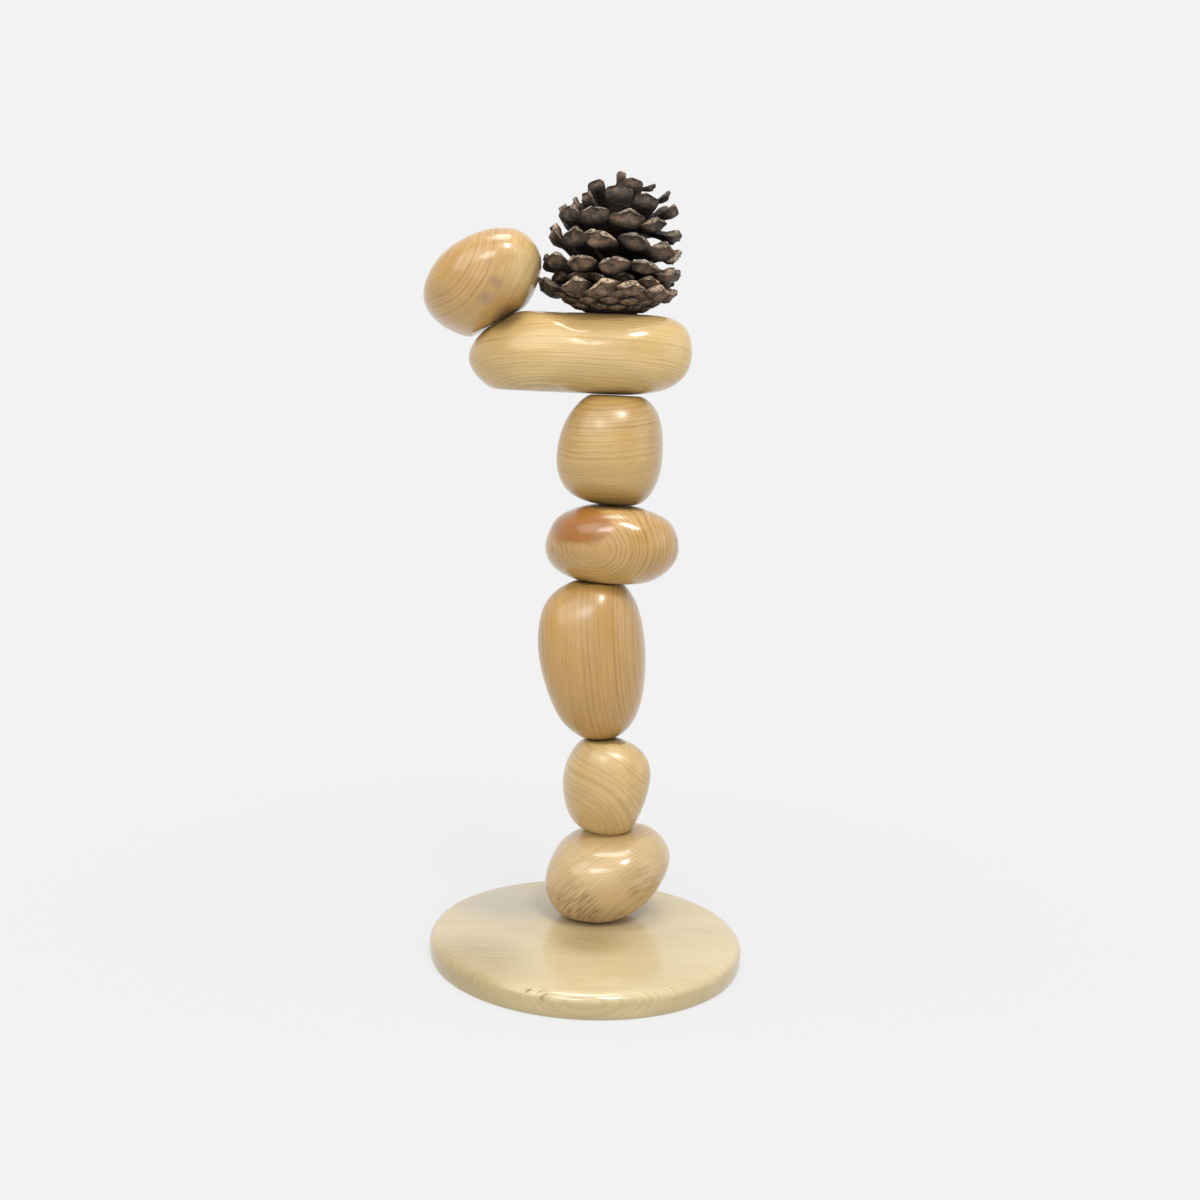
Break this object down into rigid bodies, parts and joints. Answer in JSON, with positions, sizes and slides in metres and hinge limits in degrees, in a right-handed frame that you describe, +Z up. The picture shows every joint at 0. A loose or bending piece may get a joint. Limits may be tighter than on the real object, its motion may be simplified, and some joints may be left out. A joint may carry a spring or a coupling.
{
  "type": "decorative cairn of wooden pebbles with a pine cone",
  "caption": "Tall ornament of lacquered wooden pebbles balanced in a stack on a round turned disc, with a long pebble across the top that carries a smaller pebble and an open pine cone.",
  "frame": {"origin": "middle of the disc's flat underside", "axes": "+Z up along the stack, -Y towards the front, -X towards the overhanging head pebble"},
  "size_m": [0.1626, 0.1472, 0.3649],
  "materials": {
    "disc_pine": "turned pale pine with straight grain under a clear semi-gloss lacquer",
    "pale_pine": "sanded pale pine with growth rings under a clear gloss lacquer",
    "tan_pine": "sanded tan pine with upright grain under a clear gloss lacquer",
    "amber_pine": "sanded pine with amber heartwood under a clear gloss lacquer",
    "cone_bark": "dry matte brown pine cone scales with lighter grey-tan tips"
  },
  "bodies": {
    "root": {"base_disc": "disc_pine", "pebble_bottom": "pale_pine", "pebble_small": "pale_pine", "pebble_tall": "tan_pine", "pebble_amber": "amber_pine", "pebble_upper": "pale_pine", "slab_pebble": "pale_pine", "head_pebble": "pale_pine", "pine_cone": "cone_bark"}
  },
  "joints": []
}
